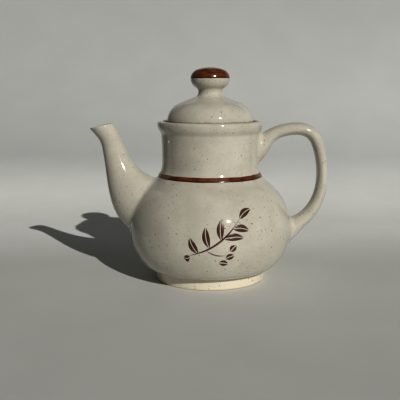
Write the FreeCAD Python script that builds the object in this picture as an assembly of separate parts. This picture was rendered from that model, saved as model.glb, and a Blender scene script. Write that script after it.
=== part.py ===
import FreeCAD, Part
import os
from math import acos, asin, atan2, cos, degrees, hypot, pi, radians, sin, sqrt

Vector = FreeCAD.Vector

# Frame: the origin is the centre of the foot's underside, +Z is up, the spout points along -X and
# the handle along +X. All lengths are millimetres. A place in an outline is (radius or x, z).

# Foot
FOOT_RADIUS = 50.3            # at the table
FOOT_TOP_RADIUS = 51.0
FOOT_HEIGHT = 10.5
FOOT_BORE = 41.0
FOOT_EDGE = 1.0               # rounding of the edge that the pot stands on

# Belly: one arc outside, a parallel one inside
WALL = 4.5
BELLY_CENTRE = (24.0, 47.0)
BELLY_RADIUS = 50.0
BELLY_FOOT_ROUND = 16.0       # tighter round in which the belly turns in to the foot
UNDERSIDE_Z = 8.0
FLOOR_Z = 14.5

# Neck
NECK_RADIUS = 43.5
SHOULDER_ROUND = 22.0         # hollow curve between belly and neck
TAPER_ROUND = 114.0           # the slight widening of the neck towards the rim
NECK_FOOT_Z = 93.0            # where belly and neck are joined

# Rim: a bead that overhangs the neck, with a seat for the lid inside
RIM_RADIUS = 47.5
RIM_Z = 143.3
RIM_EDGE = 2.4                # rounding of the outer edge
RIM_ROUND = 12.0              # below the edge the side turns under,
RIM_LEAN = 36.0               # as far as this slope,
RIM_HOLLOW = 5.0              # and meets the neck in a small hollow
SEAT_Z = 140.0
SEAT_RADIUS = 42.3
SEAT_EDGE = 1.5               # rounding of the inner edge

# Cordon round the foot of the neck
BAND_LOW_Z = 93.6
BAND_HIGH_Z = 97.25
BAND_PROUD = 0.6

# Spout: oval sections from the root to the mouth, each one
# (x, z, lean of its long axis above horizontal, half length, half width)
SPOUT_SECTIONS = [
    (-54.0, 63.0, 68.0, 27.5, 25.0),
    (-66.4, 70.4, 66.0, 26.1, 23.0),
    (-77.1, 83.3, 57.0, 21.4, 17.5),
    (-83.4, 99.6, 52.0, 16.3, 13.2),
    (-86.4, 112.0, 46.0, 12.7, 10.8),
    (-89.4, 123.7, 41.0, 10.4, 9.4),
    (-92.9, 132.6, 36.0, 9.5, 9.0),
    (-98.4, 139.1, 14.0, 10.5, 9.4),
]
SPOUT_WALL = 3.6
SPOUT_LIP = 1.8               # wall at the mouth
SPOUT_RUN_OUT = 3.0           # how far the bore is carried past the mouth, to cut it open
SPOUT_HOLE_RADIUS = 12.0      # hole through the belly wall into the spout
SPOUT_HOLE_START = (-40.0, 55.5)
SPOUT_HOLE_END = (-72.0, 75.5)

# Handle: oval sections from the neck, over the top and down to the belly, in the same form
HANDLE_SECTIONS = [
    (38.0, 117.4, 88.0, 14.0, 10.5),
    (45.2, 119.0, 91.0, 12.4, 9.8),
    (55.7, 130.0, 106.0, 6.7, 8.8),
    (65.6, 134.7, 99.0, 5.7, 8.5),
    (77.0, 136.4, 90.0, 5.7, 8.5),
    (85.6, 135.2, 67.0, 5.7, 8.5),
    (92.5, 130.8, 44.0, 5.5, 8.5),
    (97.4, 122.3, 22.0, 5.4, 8.5),
    (100.8, 109.2, 8.0, 5.2, 8.5),
    (102.1, 94.9, 0.0, 5.1, 8.5),
    (100.7, 79.5, -13.0, 5.4, 8.5),
    (96.8, 68.2, -29.0, 5.7, 8.5),
    (90.1, 58.1, -46.0, 6.1, 8.7),
    (81.6, 50.4, -60.0, 7.1, 9.2),
    (73.0, 43.7, -80.0, 10.6, 10.2),
    (66.0, 40.5, -88.0, 13.2, 11.0),
]

# Lid
LID_GAP = 0.2                 # between the lid's edge and its seat
LID_RADIUS = 41.3
LID_EDGE_HEIGHT = 1.4
LID_EDGE_HOLLOW = 1.5         # hollow rounding between the lid's edge and its dome
LID_WALL = 4.0
DOME_CENTRE = (20.5, 142.2)
DOME_ROUND = 18.4
FLANGE_RADIUS = 37.6
FLANGE_BORE = 34.0
FLANGE_DEPTH = 10.0
FLANGE_EDGE = 1.0
STEM_CENTRE = (15.1, 168.9)   # hollow round between the dome and the knob
STEM_ROUND = 4.5
VENT_RADIUS = 1.5
VENT_ANGLE = 62.0             # place of the vent on the dome's round, on the handle's side

# Knob
KNOB_CENTRE = (8.6, 180.5)
KNOB_TOP_Z = 190.6
CAP_Z = 181.0

# Printed sprig on the front of the belly. A stem is (start, end, bulge, bulge of its other
# side); a leaf or bean is (x, z, angle, length), all about the sprig's middle.
MOTIF_CENTRE = (3.5, 51.0)
MOTIF_THICK = 0.2
MOTIF_SPAN = 45.0             # the print stays within this angle up and down the belly's arc
MOTIF_STEMS = [
    ((-24.0, -15.0), (21.0, 17.0), -5.0, -6.6),
    ((-8.0, -9.0), (9.0, -14.0), -1.6, -2.7),
]
MOTIF_LEAVES = [
    (-14.0, -12.5, 118.0, 15.0),
    (-5.0, -7.5, 100.0, 17.5),
    (5.0, -1.0, 88.0, 17.0),
    (14.5, 8.0, -10.0, 13.5),
    (7.5, 0.0, 0.0, 16.0),
    (20.0, 15.5, 38.0, 11.5),
    (-21.0, -15.5, -170.0, 5.0),
]
LEAF_HALF_WIDE = 2.7
LEAF_SLIT = 0.7
LEAF_BEND = 1.2
MOTIF_BEANS = [
    (8.5, -17.0, 20.0, 7.5),
    (3.0, -20.5, -12.0, 7.5),
    (12.5, -11.0, 48.0, 7.0),
]
BEAN_HALF_WIDE = 2.3
BEAN_SLIT = 0.8
BEAN_BEND = 0.4

OVAL_POINTS = 16              # points that each oval section is drawn through
TOUCHING = 1e-6               # places this near each other are one

# Values worked out from the sizes above
SHOULDER_CENTRE = (
    NECK_RADIUS + SHOULDER_ROUND,
    BELLY_CENTRE[1]
    + sqrt(
        (BELLY_RADIUS + SHOULDER_ROUND) ** 2
        - (NECK_RADIUS + SHOULDER_ROUND - BELLY_CENTRE[0]) ** 2
    ),
)
SHOULDER_TANGENT = degrees(
    atan2(SHOULDER_CENTRE[1] - BELLY_CENTRE[1], SHOULDER_CENTRE[0] - BELLY_CENTRE[0])
)
LID_LOW_Z = SEAT_Z + LID_GAP
KNOB_ROUND = (
    hypot(STEM_CENTRE[0] - KNOB_CENTRE[0], STEM_CENTRE[1] - KNOB_CENTRE[1]) - STEM_ROUND
)


def on_circle(centre, radius, angle):
    """Point on a circle in the X-Z plane; angles are degrees up from the outward direction."""
    return (centre[0] + radius * cos(radians(angle)), centre[1] + radius * sin(radians(angle)))


def at(point):
    """Vector in the X-Z plane."""
    return Vector(point[0], 0, point[1])


def arc(centre, radius, start, end):
    """Edge along a circle in the X-Z plane, from one angle to another."""
    angles = (start, (start + end) / 2, end)
    return Part.Arc(*[at(on_circle(centre, radius, angle)) for angle in angles]).toShape()


def ends(step):
    """Where one step of an outline starts and stops: a step is a place or an edge."""
    if isinstance(step, tuple):
        return at(step), at(step)
    return step.Vertexes[0].Point, step.Vertexes[-1].Point


def outline(*steps):
    """Closed wire in the X-Z plane through places and edges, with straight lines between them."""
    edges = []
    here = ends(steps[-1])[1]
    for step in steps:
        first, last = ends(step)
        if not here.isEqual(first, TOUCHING):
            edges.append(Part.makeLine(here, first))
        if not isinstance(step, tuple):
            edges.append(step)
        here = last
    return Part.Wire(edges)


def turned(*steps):
    """Solid of revolution about Z of a closed outline."""
    return Part.Face(outline(*steps)).revolve(Vector(), Vector(0, 0, 1), 360)


def belly_arc(inset, start, end):
    return arc(BELLY_CENTRE, BELLY_RADIUS - inset, start, end)


def shoulder_arc(inset, start, end):
    return arc(SHOULDER_CENTRE, SHOULDER_ROUND + inset, start, end)


def belly_angle(z, inset=0.0):
    """Angle on the belly's arc at a height."""
    return degrees(asin((z - BELLY_CENTRE[1]) / (BELLY_RADIUS - inset)))


def shoulder_angle(z, inset=0.0):
    """Angle on the hollow shoulder arc at a height."""
    return 180 - degrees(asin((z - SHOULDER_CENTRE[1]) / (SHOULDER_ROUND + inset)))


def belly_outside():
    """Outer curves of the belly, from the foot up to the neck's foot."""
    reach = BELLY_RADIUS - BELLY_FOOT_ROUND
    drop = FOOT_HEIGHT + BELLY_FOOT_ROUND - BELLY_CENTRE[1]
    low = degrees(asin(drop / reach))
    return (
        arc(on_circle(BELLY_CENTRE, reach, low), BELLY_FOOT_ROUND, -90, low),
        belly_arc(0, low, SHOULDER_TANGENT),
        shoulder_arc(0, 180 + SHOULDER_TANGENT, shoulder_angle(NECK_FOOT_Z)),
    )


def neck_outside():
    """Outer curves of the neck, from its foot up to the rim's crest."""
    side_z = RIM_Z - RIM_EDGE
    under_rim = (RIM_RADIUS - RIM_ROUND, side_z)
    hollow = on_circle(under_rim, RIM_ROUND + RIM_HOLLOW, -RIM_LEAN)
    run = NECK_RADIUS + TAPER_ROUND - hollow[0]
    drop = sqrt((TAPER_ROUND - RIM_HOLLOW) ** 2 - run**2)
    meeting = 180 - degrees(atan2(drop, run))
    return (
        shoulder_arc(0, shoulder_angle(NECK_FOOT_Z), 180),
        arc((hollow[0] + run, hollow[1] - drop), TAPER_ROUND, 180, meeting),
        arc(hollow, RIM_HOLLOW, meeting, 180 - RIM_LEAN),
        arc(under_rim, RIM_ROUND, -RIM_LEAN, 0),
        arc((RIM_RADIUS - RIM_EDGE, side_z), RIM_EDGE, 0, 90),
    )


def pot_core():
    """Everything inside the outer face of belly and neck, for trimming spout and handle."""
    return turned((0, UNDERSIDE_Z), (0, FOOT_HEIGHT), *belly_outside(), *neck_outside(), (0, RIM_Z))


def foot_ring():
    return turned(
        (FOOT_BORE, FOOT_HEIGHT),
        arc((FOOT_BORE + FOOT_EDGE, FOOT_EDGE), FOOT_EDGE, 180, 270),
        arc((FOOT_RADIUS - FOOT_EDGE, FOOT_EDGE), FOOT_EDGE, -90, 0),
        (FOOT_TOP_RADIUS, FOOT_HEIGHT),
    )


def belly():
    shell = turned(
        (0, UNDERSIDE_Z),
        (FOOT_BORE, UNDERSIDE_Z),
        (FOOT_BORE, FOOT_HEIGHT),
        *belly_outside(),
        shoulder_arc(WALL, shoulder_angle(NECK_FOOT_Z, WALL), 180 + SHOULDER_TANGENT),
        belly_arc(WALL, SHOULDER_TANGENT, belly_angle(FLOOR_Z, WALL)),
        (0, FLOOR_Z),
    )
    start, end = at(SPOUT_HOLE_START), at(SPOUT_HOLE_END)
    hole = Part.makeCylinder(SPOUT_HOLE_RADIUS, (end - start).Length, start, end - start)
    return shell.cut(hole)


def neck():
    bore = NECK_RADIUS - WALL
    return turned(
        *neck_outside(),
        arc((SEAT_RADIUS + SEAT_EDGE, RIM_Z - SEAT_EDGE), SEAT_EDGE, 90, 180),
        (SEAT_RADIUS, SEAT_Z),
        (bore, SEAT_Z),
        shoulder_arc(WALL, 180, shoulder_angle(NECK_FOOT_Z, WALL)),
    )


def neck_band():
    low, high = shoulder_angle(BAND_LOW_Z), shoulder_angle(BAND_HIGH_Z)
    return turned(shoulder_arc(-BAND_PROUD, low, high), shoulder_arc(0, high, low))


def oval(x, z, lean, half_long, half_wide):
    """Closed oval whose long axis lies in the X-Z plane, leaning by an angle above +X."""
    long_axis = at((cos(radians(lean)), sin(radians(lean))))
    points = []
    for step in range(OVAL_POINTS):
        turn = 2 * pi * step / OVAL_POINTS
        across = Vector(0, half_wide * sin(turn), 0)
        points.append(at((x, z)) + long_axis * (half_long * cos(turn)) + across)
    curve = Part.BSplineCurve()
    curve.interpolate(Points=points, PeriodicFlag=True)
    return Part.Wire(curve.toShape())


def spout_bore():
    """The hollow of the spout, run out past the mouth."""
    rows = []
    for x, z, lean, half_long, half_wide in SPOUT_SECTIONS[:-1]:
        rows.append((x, z, lean, half_long - SPOUT_WALL, half_wide - SPOUT_WALL))
    x, z, lean, half_long, half_wide = SPOUT_SECTIONS[-1]
    rows.append((x, z, lean, half_long - SPOUT_LIP, half_wide - SPOUT_LIP))
    past = on_circle((x, z), SPOUT_RUN_OUT, lean + 90)
    rows.append((past[0], past[1], lean, half_long, half_wide))
    return Part.makeLoft([oval(*row) for row in rows], True)


def spout():
    tube = Part.makeLoft([oval(*row) for row in SPOUT_SECTIONS], True)
    return tube.cut(pot_core()).cut(spout_bore())


def handle():
    loop = Part.makeLoft([oval(*row) for row in HANDLE_SECTIONS], True)
    return loop.cut(pot_core())


def dome_crown_angle():
    """Where the dome's round shoulder turns into the straight slope up to the stem."""
    run, rise = STEM_CENTRE[0] - DOME_CENTRE[0], STEM_CENTRE[1] - DOME_CENTRE[1]
    return degrees(atan2(rise, run) - acos((DOME_ROUND + STEM_ROUND) / hypot(run, rise)))


def lid_dome():
    crown = dome_crown_angle()
    hollow_z = LID_LOW_Z + LID_EDGE_HEIGHT + LID_EDGE_HOLLOW
    hollow = degrees(asin((hollow_z - DOME_CENTRE[1]) / (DOME_ROUND + LID_EDGE_HOLLOW)))
    hollow_centre = on_circle(DOME_CENTRE, DOME_ROUND + LID_EDGE_HOLLOW, hollow)
    inner_round = DOME_ROUND - LID_WALL
    spring = degrees(acos((FLANGE_BORE - DOME_CENTRE[0]) / inner_round))
    stem_foot = on_circle(STEM_CENTRE, STEM_ROUND, crown + 180)
    under_stem = on_circle(STEM_CENTRE, STEM_ROUND + LID_WALL, crown + 180)
    shell = turned(
        (LID_RADIUS, LID_LOW_Z),
        (LID_RADIUS, LID_LOW_Z + LID_EDGE_HEIGHT),
        arc(hollow_centre, LID_EDGE_HOLLOW, 270, 180 + hollow),
        arc(DOME_CENTRE, DOME_ROUND, hollow, crown),
        stem_foot,
        (0, stem_foot[1]),
        (0, under_stem[1]),
        under_stem,
        arc(DOME_CENTRE, inner_round, crown, spring),
        (FLANGE_BORE, LID_LOW_Z),
    )
    vent_start = at(on_circle(DOME_CENTRE, DOME_ROUND - 2 * LID_WALL, VENT_ANGLE))
    along = at(on_circle((0, 0), 1, VENT_ANGLE))
    return shell.cut(Part.makeCylinder(VENT_RADIUS, 4 * LID_WALL, vent_start, along))


def lid_flange():
    low = LID_LOW_Z - FLANGE_DEPTH
    return turned(
        (FLANGE_BORE, LID_LOW_Z),
        arc((FLANGE_BORE + FLANGE_EDGE, low + FLANGE_EDGE), FLANGE_EDGE, 180, 270),
        arc((FLANGE_RADIUS - FLANGE_EDGE, low + FLANGE_EDGE), FLANGE_EDGE, -90, 0),
        (FLANGE_RADIUS, LID_LOW_Z),
    )


def knob_angle(z):
    """Angle on the knob's round side at a height."""
    return degrees(asin((z - KNOB_CENTRE[1]) / KNOB_ROUND))


def lid_knob():
    crown = dome_crown_angle()
    stem_foot = on_circle(STEM_CENTRE, STEM_ROUND, crown + 180)
    to_knob = degrees(
        atan2(KNOB_CENTRE[1] - STEM_CENTRE[1], KNOB_CENTRE[0] - STEM_CENTRE[0])
    )
    return turned(
        (0, stem_foot[1]),
        arc(STEM_CENTRE, STEM_ROUND, crown + 180, to_knob),
        arc(KNOB_CENTRE, KNOB_ROUND, to_knob - 180, knob_angle(CAP_Z)),
        (0, CAP_Z),
    )


def knob_cap():
    """Top of the knob: its side turns smoothly into a shallow crown."""
    rise = KNOB_TOP_Z - KNOB_CENTRE[1]
    crown_radius = (KNOB_CENTRE[0] ** 2 + rise**2 - KNOB_ROUND**2) / (2 * (rise - KNOB_ROUND))
    crown_centre = (0, KNOB_TOP_Z - crown_radius)
    tangent = degrees(atan2(KNOB_CENTRE[1] - crown_centre[1], KNOB_CENTRE[0]))
    return turned(
        (0, CAP_Z),
        arc(KNOB_CENTRE, KNOB_ROUND, knob_angle(CAP_Z), tangent),
        arc(crown_centre, crown_radius, tangent, 90),
    )


def stroke(start, end, bulge, back):
    """Flat face between two arcs that share their ends, bulging to one side by two amounts."""
    middle = ((start[0] + end[0]) / 2, (start[1] + end[1]) / 2)
    length = hypot(end[0] - start[0], end[1] - start[1])
    side = ((start[1] - end[1]) / length, (end[0] - start[0]) / length)
    edges = []
    for amount in (bulge, back):
        crest = (middle[0] + side[0] * amount, middle[1] + side[1] * amount)
        edges.append(Part.Arc(at(start), at(crest), at(end)).toShape())
    return Part.Face(Part.Wire(edges))


def halves(x, z, angle, length, half_wide, slit, bend):
    """Two strokes either side of a slit: a leaf or a coffee bean."""
    end = on_circle((x, z), length, angle)
    pieces = []
    for sign in (1, -1):
        gap = on_circle((0, 0), slit / 2, angle + 90 * sign)
        first = (x + gap[0], z + gap[1])
        last = (end[0] + gap[0], end[1] + gap[1])
        pieces.append(stroke(first, last, bend + sign * half_wide, bend))
    return pieces


def motif():
    """Coffee sprig printed on the belly: a skin that follows the belly's curve."""
    faces = [stroke(*stem) for stem in MOTIF_STEMS]
    for leaf in MOTIF_LEAVES:
        faces += halves(*leaf, LEAF_HALF_WIDE, LEAF_SLIT, LEAF_BEND)
    for bean in MOTIF_BEANS:
        faces += halves(*bean, BEAN_HALF_WIDE, BEAN_SLIT, BEAN_BEND)
    skin = turned(
        belly_arc(-MOTIF_THICK, -MOTIF_SPAN, MOTIF_SPAN),
        belly_arc(0, MOTIF_SPAN, -MOTIF_SPAN),
    )
    reach = BELLY_CENTRE[0] + BELLY_RADIUS + MOTIF_THICK
    pieces = []
    for face in faces:
        face.translate(Vector(MOTIF_CENTRE[0], -reach, MOTIF_CENTRE[1]))
        pieces += face.extrude(Vector(0, reach, 0)).common(skin).Solids
    return Part.makeCompound(pieces)


NODES = (
    foot_ring, belly, neck, neck_band, spout, handle, motif,
    lid_dome, lid_flange, lid_knob, knob_cap,
)

os.makedirs("parts", exist_ok=True)
for node in NODES:
    node().exportStep("parts/" + node.__name__ + ".step")
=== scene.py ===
from math import atan2, ceil, cos, degrees, hypot, pi, radians, sin, sqrt

import bpy
import numpy as np
import openvdb
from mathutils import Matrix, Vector


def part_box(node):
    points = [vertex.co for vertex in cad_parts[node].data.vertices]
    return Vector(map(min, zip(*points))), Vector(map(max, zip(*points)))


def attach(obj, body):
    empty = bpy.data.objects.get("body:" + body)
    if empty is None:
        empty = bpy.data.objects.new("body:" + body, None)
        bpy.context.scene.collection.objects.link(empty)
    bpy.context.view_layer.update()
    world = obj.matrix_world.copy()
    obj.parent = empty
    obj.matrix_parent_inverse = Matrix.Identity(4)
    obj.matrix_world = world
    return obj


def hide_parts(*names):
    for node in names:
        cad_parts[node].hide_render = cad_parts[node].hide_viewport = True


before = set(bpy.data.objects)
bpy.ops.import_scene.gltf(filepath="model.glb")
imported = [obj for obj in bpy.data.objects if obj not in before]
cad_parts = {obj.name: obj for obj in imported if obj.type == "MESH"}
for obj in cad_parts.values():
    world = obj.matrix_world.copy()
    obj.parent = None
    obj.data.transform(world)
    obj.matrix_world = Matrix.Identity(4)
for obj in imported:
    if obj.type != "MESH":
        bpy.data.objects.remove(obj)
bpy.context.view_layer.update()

# Blender works in metres. The outlines below are in millimetres, as (radius or x, z) in the frame
# of the CAD: origin under the middle of the foot, +Z up, spout along -X, handle along +X.
MM = 0.001


def frame_mm(node):
    """A CAD node's lowest and highest corners, in millimetres."""
    return [tuple(v / MM for v in corner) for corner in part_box(node)]


# Heights and radii read from the CAD nodes
FOOT_HEIGHT = frame_mm("foot_ring")[1][2]
FOOT_TOP_RADIUS = frame_mm("foot_ring")[1][1]
UNDERSIDE_Z = frame_mm("belly")[0][2]
RIM_Z = frame_mm("neck")[1][2]
BAND_LOW_Z, BAND_HIGH_Z = [corner[2] for corner in frame_mm("neck_band")]
LID_LOW_Z = frame_mm("lid_dome")[0][2]
LID_RADIUS = frame_mm("lid_dome")[1][1]
FLANGE_RADIUS = frame_mm("lid_flange")[1][1]
FLANGE_LOW_Z = frame_mm("lid_flange")[0][2]
KNOB_TOP_Z = frame_mm("knob_cap")[1][2]
CAP_Z = frame_mm("knob_cap")[0][2]

# Shapes of the clay, in millimetres
WALL = 4.5
BELLY_CENTRE = (24.0, 47.0)
BELLY_RADIUS = 50.0
BELLY_FOOT_ROUND = 16.0
FOOT_RADIUS = 50.3
FOOT_BORE = 41.0
FOOT_LAP = 0.8                # how far the foot ring runs up into the belly's wall
FOOT_BARE_Z = 0.8             # the glaze is wiped off below this, and off the lid's edge up to this far above the rim, where the bare clay is painted dark as shade in the gap
LID_BARE_AND_SHADE_RISE = 0.3           # and off the lid's edge up to this far above the rim
FLOOR_Z = 14.5
NECK_RADIUS = 43.5
SHOULDER_ROUND = 22.0         # hollow curve between belly and neck
TAPER_ROUND = 114.0           # the slight widening of the neck towards the rim
RIM_RADIUS = 47.5
RIM_EDGE = 2.4                # rounding of the rim's outer edge
RIM_ROUND = 12.0              # below the edge the rim's side turns under,
RIM_LEAN = 36.0               # as far as this slope,
RIM_HOLLOW = 5.0              # and meets the neck in a small hollow
SEAT_Z = 140.0
SEAT_RADIUS = 42.3
SEAT_EDGE = 1.5
DOME_CENTRE = (20.5, 142.2)
DOME_ROUND = 18.4
LID_WALL = 4.0
LID_EDGE_HEIGHT = 1.4
LID_EDGE_HOLLOW = 1.5
FLANGE_BORE = 34.0
STEM_CENTRE = (15.1, 168.9)
STEM_ROUND = 4.5
KNOB_CENTRE = (8.6, 180.5)
VENT_RADIUS = 1.5
VENT_ANGLE = 62.0
SPOUT_HOLE_RADIUS = 12.0
SPOUT_HOLE_START = (-40.0, 55.5)
SPOUT_HOLE_END = (-72.0, 75.5)

# Oval sections: x, z, lean of the long axis in degrees, half length, half width
SPOUT_ROWS = [
    (-54.0, 63.0, 68.0, 27.5, 25.0),
    (-66.4, 70.4, 66.0, 26.1, 23.0),
    (-77.1, 83.3, 57.0, 21.4, 17.5),
    (-83.4, 99.6, 52.0, 16.3, 13.2),
    (-86.4, 112.0, 46.0, 12.7, 10.8),
    (-89.4, 123.7, 41.0, 10.4, 9.4),
    (-92.9, 132.6, 36.0, 9.5, 9.0),
    (-98.4, 139.1, 14.0, 10.5, 9.4),
]
HANDLE_ROWS = [
    (38.0, 117.4, 88.0, 14.0, 10.5),
    (45.2, 119.0, 91.0, 12.4, 9.8),
    (55.7, 130.0, 106.0, 6.7, 8.8),
    (65.6, 134.7, 99.0, 5.7, 8.5),
    (77.0, 136.4, 90.0, 5.7, 8.5),
    (85.6, 135.2, 67.0, 5.7, 8.5),
    (92.5, 130.8, 44.0, 5.5, 8.5),
    (97.4, 122.3, 22.0, 5.4, 8.5),
    (100.8, 109.2, 8.0, 5.2, 8.5),
    (102.1, 94.9, 0.0, 5.1, 8.5),
    (100.7, 79.5, -13.0, 5.4, 8.5),
    (96.8, 68.2, -29.0, 5.7, 8.5),
    (90.1, 58.1, -46.0, 6.1, 8.7),
    (81.6, 50.4, -60.0, 7.1, 9.2),
    (73.0, 43.7, -80.0, 10.6, 10.2),
    (66.0, 40.5, -88.0, 13.2, 11.0),
]
SPOUT_WALL = 3.6
SPOUT_LIP = 1.6
LIP_ROUND = 0.8
SPOUT_FILLET = 3.0            # reach of the slip that blends the spout into the belly
HANDLE_FILLET = 4.5
SINK = 0.01                   # added pieces meet the wall this far under its surface,
SKIRT = 2.0                   # and blended ones go on this far into the wall
COLLAR = 2.0                  # and this far out past the fillet

# Corners of the spaces that distances are worked out in. The wall's are (radius, z)
SPOUT_SPACE = ((-114, -32, 28), (-38, 32, 148))
HANDLE_SPACE = ((34, -18, 20), (112, 18, 146))
WALL_SPACE = ((20, 18), (125, 160))

# Glaze and print
WALL_SOFT = 0.9               # rounding that the glaze gives the pot's corners,
FOOT_SOFT = 1.3               # the foot's
LID_SOFT = 0.7                # and the lid's
BAND_PROUD = 0.4
BAND_DEPTH = 0.6              # raised pieces go this far into the clay
BAND_DRIFT = 0.22             # how far the brush strayed
CAP_PROUD = 0.12
CAP_DEPTH = 0.6
CAP_DRIFT = 0.2
CAP_LAP = 1.2                 # the lid's clay goes on this far up under the cap,
CAP_FILL = 0.6                # draws in until this share of the height left,
CAP_COVER = 1.5               # and ends this far below the cap's top
PRINT_PROUD = 0.12
PRINT_DEPTH = 0.3

# Printed sprig, about its middle. A stem is (start, end, bulge, bulge of its other side); a leaf
# or bean is (x, z, angle, length).
MOTIF_CENTRE = (3.5, 51.0)
MOTIF_STEMS = [
    ((-24.0, -15.0), (21.0, 17.0), -5.0, -6.6),
    ((-8.0, -9.0), (9.0, -14.0), -1.6, -2.7),
]
MOTIF_LEAVES = [
    (-14.0, -12.5, 118.0, 15.0),
    (-5.0, -7.5, 100.0, 17.5),
    (5.0, -1.0, 88.0, 17.0),
    (14.5, 8.0, -10.0, 13.5),
    (7.5, 0.0, 0.0, 16.0),
    (20.0, 15.5, 38.0, 11.5),
    (-21.0, -15.5, -170.0, 5.0),
]
LEAF_HALF_WIDE = 2.7
LEAF_SLIT = 0.7
LEAF_BEND = 1.2
MOTIF_BEANS = [
    (8.5, -17.0, 20.0, 7.5),
    (3.0, -20.5, -12.0, 7.5),
    (12.5, -11.0, 48.0, 7.0),
]
BEAN_HALF_WIDE = 2.3
BEAN_SLIT = 0.8
BEAN_BEND = 0.4

# Mesh fineness, with lengths in millimetres
SIDES = 320                   # round a turned piece
HOLE_SIDES = 64
ARC_STEP = 0.4                # between an arc's points
FINE = 0.15                   # between an outline's points while it is softened
BEND_STEP = radians(6)        # then points are kept after this much turning, or after this far:
WALL_STEP = 1.3
INSIDE_STEP = 3.6
FOOT_STEP = 1.2
LID_STEP = 1.1
SKIN_STEP = 0.7               # between the points of a blended skin
SMOOTHINGS = 4                # times that a blended skin's points are evened out
SECTIONS = 160                # along a spout or handle
FIELD_STEP = 0.8              # between the wall's points when distances to it are worked out
WALL_GRID = 0.25              # between the places that they are worked out for,
TUBE_GRID = 0.4               # and the places for a spout or handle
TINY = 1e-6                   # lengths under this count as none

# Colours, linear
CREAM = (0.62, 0.596, 0.52, 1)
CREAM_DARK = (0.53, 0.507, 0.438, 1)
CREAM_GREY = (0.44, 0.423, 0.373, 1)
# Painted light: the foot ring's tone, lighter as if sunlight were thrown up onto it from the floor
CREAM_FOOT_PAINTED_LIGHT = (0.71, 0.665, 0.55, 1)
SPECK = (0.08, 0.055, 0.035, 1)
CLAY = (0.62, 0.52, 0.38, 1)
CLAY_DARK = (0.50, 0.40, 0.28, 1)
# Painted shade: the lid's bare edge, near black as the shade in the gap under the rim
CLAY_PAINTED_GAP_SHADE = (0.16, 0.13, 0.095, 1)
BROWN = (0.20, 0.068, 0.022, 1)
BROWN_DARK = (0.105, 0.030, 0.010, 1)
BROWN_DEEP = (0.03, 0.008, 0.005, 1)
PRINT = (0.075, 0.028, 0.018, 1)
PRINT_WORN = (0.19, 0.10, 0.065, 1)
# The stage's tones hold painted light and shade: lighter going back and to the right, darker
# higher up
FLOOR = (0.66, 0.67, 0.65, 1)
FLOOR_FAR_PAINTED_LIGHT = (0.86, 0.875, 0.86, 1)
BOARD_LEFT_PAINTED_SHADE = (0.515, 0.53, 0.525, 1)
BOARD_RIGHT_PAINTED_LIGHT = (0.60, 0.62, 0.615, 1)
BOARD_TOP_PAINTED_SHADE = (0.455, 0.47, 0.465, 1)
# Painted shade over the stage out to the left
BOARD_PAINTED_SHADE = (0.22, 0.223, 0.22, 1)

# Surfaces. Lengths are in millimetres, and a pair is the least and the most
CREAM_ROUGHNESS = (0.045, 0.08)
CLAY_ROUGHNESS = 0.8
BROWN_ROUGHNESS = (0.18, 0.26)
PRINT_ROUGHNESS = (0.2, 0.3)
BOARD_ROUGHNESS = 0.65
GLAZE_IOR = 1.5
SPECKS = [                    # spacing, least and most radius, share of places filled, strength
    (2.0, 0.2, 0.36, 0.7, 0.75),
    (3.7, 0.34, 0.62, 0.5, 0.9),
]
SPECK_RAGGED = 0.35           # how far a speck's outline strays
WIPE_DRIFT = 0.25             # how far the edge of the wiped clay strays
WIPE_SOFT = 0.15
FOOT_BLUR = 0.6               # above and below the crease, while the foot's painted light comes in
POOL = (0.4, 2.2)             # height above its edge over which pooled glaze gets thin

# Where the board's painted light and shade change, in millimetres
BACKWARD_FADE = (30, 200)
SIDEWAYS_FADE = (-450, 450)
UPWARD_FADE = (80, 380)
CORNER_FADE = (2, 62)         # up the curve from the floor's tone to the board's
SHADE_FADE = (-330, -190)
SHADE_SLANT = 0.29              # how far left the painted shade leans for each step back

# Light
ROOM_LEFT = (0.04, 0.04, 0.041, 1)
ROOM_RIGHT = (0.18, 0.178, 0.173, 1)
ROOM_HIGH = (0.05, 0.05, 0.051, 1)

# How the room changes from its left. Each row: axis of the direction looked in, where along it the
# change starts and ends, the tone it ends in
ROOM_CHANGES = [
    ("X", -0.4, 0.5, ROOM_RIGHT),
    ("Z", 0.0, 0.6, ROOM_HIGH),
]

SUN_COLOUR = (1.0, 0.975, 0.93)
SUN_POWER = 3.15
SUN_WIDTH = radians(0.7)
SUN_AZIMUTH = 28.0            # degrees to the right of the camera
SUN_ELEVATION = 29.5
GRADE = 0.72                  # below 1 it deepens the shadows, as a camera does in hard light

# Camera: the lens and sensor in millimetres, the eye in metres, its tilt in degrees below level
LENS = 61.38
SENSOR_WIDTH = 36.0
EYE = (-0.0091, -0.6165, 0.1763)
TILT = 9.70

# Stage, in metres
STAGE_NEAR = 1.6
STAGE_FAR = 0.25
STAGE_CURVE = 0.75
STAGE_HEIGHT = 0.9
STAGE_HALF_WIDE = 3.0


# Lines in the X-Z plane

def on_circle(centre, radius, angle):
    """The point on a circle at an angle in degrees, or the points at several angles."""
    turn = np.radians(angle)
    return np.stack([centre[0] + radius * np.cos(turn), centre[1] + radius * np.sin(turn)], -1)


def arc(centre, radius, start, end):
    """Points along an arc, both ends included."""
    count = ceil(abs(radians(end - start)) * radius / ARC_STEP) + 2
    return on_circle(centre, radius, np.linspace(start, end, count))


def path(*parts):
    """One line of points through points and arcs."""
    return np.concatenate([np.atleast_2d(part) for part in parts])


def travelled(points):
    """How far along a line each of its points lies."""
    return np.concatenate([[0], np.cumsum(np.hypot(*np.diff(points, axis=0).T))])


def spaced(points, step):
    """The same line with its points evenly spaced."""
    gaps = np.hypot(*np.diff(points, axis=0).T)
    points = points[np.concatenate([[True], gaps > TINY])]
    along = np.concatenate([[0], np.cumsum(gaps[gaps > TINY])])
    marks = np.linspace(0, along[-1], ceil(along[-1] / step) + 1)
    return np.stack([np.interp(marks, along, column) for column in points.T], -1)


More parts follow.
